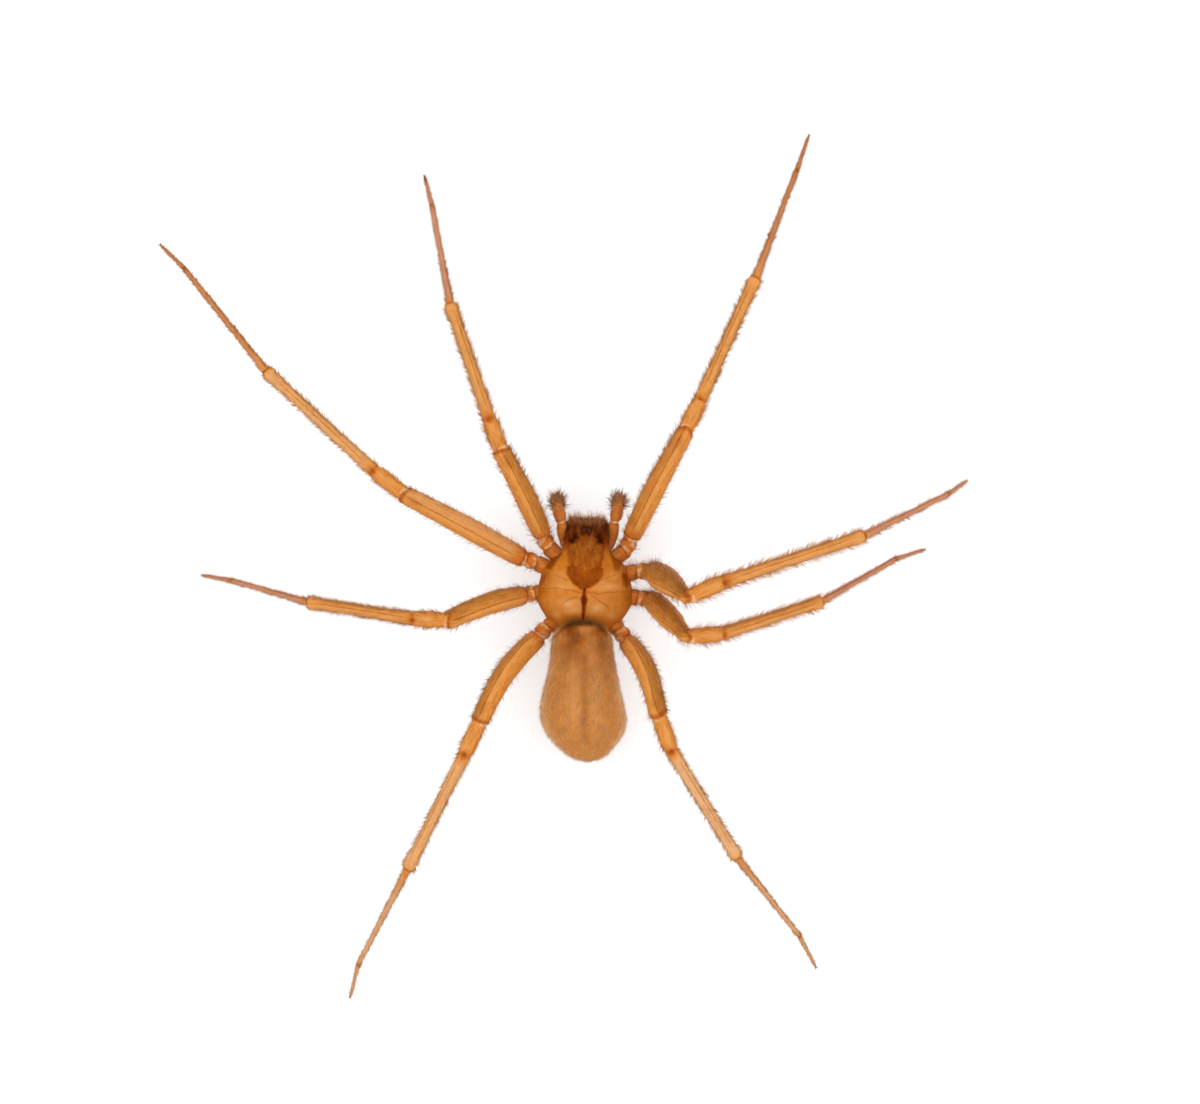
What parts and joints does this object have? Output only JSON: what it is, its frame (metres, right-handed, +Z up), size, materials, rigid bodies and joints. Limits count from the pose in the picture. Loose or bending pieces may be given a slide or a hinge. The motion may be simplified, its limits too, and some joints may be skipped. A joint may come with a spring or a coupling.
{
  "type": "brown recluse spider model",
  "caption": "Still, life-size model of a brown recluse spider that stands with its long, thin legs spread, a dark violin mark on its back.",
  "frame": {"origin": "centre of the model's footprint on the floor that its feet stand on", "axes": "+Y towards the spider's head, +X towards its right side, +Z up"},
  "size_m": [0.0302, 0.0322, 0.0075],
  "materials": {
    "carapace_brown": "smooth horny shell, satin, orange-brown with a dark violin mark",
    "sternum_tan": "smooth shield, satin, tan",
    "abdomen_tan": "soft skin under short fuzz, tan-brown, matt",
    "leg_orange": "thin horny tubes, satin, orange-brown with pale stripes and joints",
    "foot_russet": "thin horny tubes, satin, reddish-brown",
    "palp_brown": "bristly, brown, darker at the tips",
    "chelicera_dark": "hard and glossy, dark reddish-brown",
    "fang_black": "hard, polished, near black",
    "eye_black": "polished dome, near black"
  },
  "bodies": {
    "root": {"abdomen": "abdomen_tan", "cephalothorax": "carapace_brown", "chelicera_left": "chelicera_dark", "chelicera_right": "chelicera_dark", "eye_front_side_left": "eye_black", "eye_front_side_right": "eye_black", "eye_median_left": "eye_black", "eye_median_right": "eye_black", "eye_rear_side_left": "eye_black", "eye_rear_side_right": "eye_black", "fang_left": "fang_black", "fang_right": "fang_black", "leg1_left_coxa": "leg_orange", "leg1_left_femur": "leg_orange", "leg1_left_foot": "foot_russet", "leg1_left_patella": "leg_orange", "leg1_left_tibia": "leg_orange", "leg1_right_coxa": "leg_orange", "leg1_right_femur": "leg_orange", "leg1_right_foot": "foot_russet", "leg1_right_patella": "leg_orange", "leg1_right_tibia": "leg_orange", "leg2_left_coxa": "leg_orange", "leg2_left_femur": "leg_orange", "leg2_left_foot": "foot_russet", "leg2_left_patella": "leg_orange", "leg2_left_tibia": "leg_orange", "leg2_right_coxa": "leg_orange", "leg2_right_femur": "leg_orange", "leg2_right_foot": "foot_russet", "leg2_right_patella": "leg_orange", "leg2_right_tibia": "leg_orange", "leg3_left_coxa": "leg_orange", "leg3_left_femur": "leg_orange", "leg3_left_foot": "foot_russet", "leg3_left_patella": "leg_orange", "leg3_left_tibia": "leg_orange", "leg3_right_coxa": "leg_orange", "leg3_right_femur": "leg_orange", "leg3_right_foot": "foot_russet", "leg3_right_patella": "leg_orange", "leg3_right_tibia": "leg_orange", "leg4_left_coxa": "leg_orange", "leg4_left_femur": "leg_orange", "leg4_left_foot": "foot_russet", "leg4_left_patella": "leg_orange", "leg4_left_tibia": "leg_orange", "leg4_right_coxa": "leg_orange", "leg4_right_femur": "leg_orange", "leg4_right_foot": "foot_russet", "leg4_right_patella": "leg_orange", "leg4_right_tibia": "leg_orange", "palp_left": "palp_brown", "palp_right": "palp_brown", "pedicel": "carapace_brown", "spinnerets": "abdomen_tan", "sternum": "sternum_tan"}
  },
  "joints": []
}
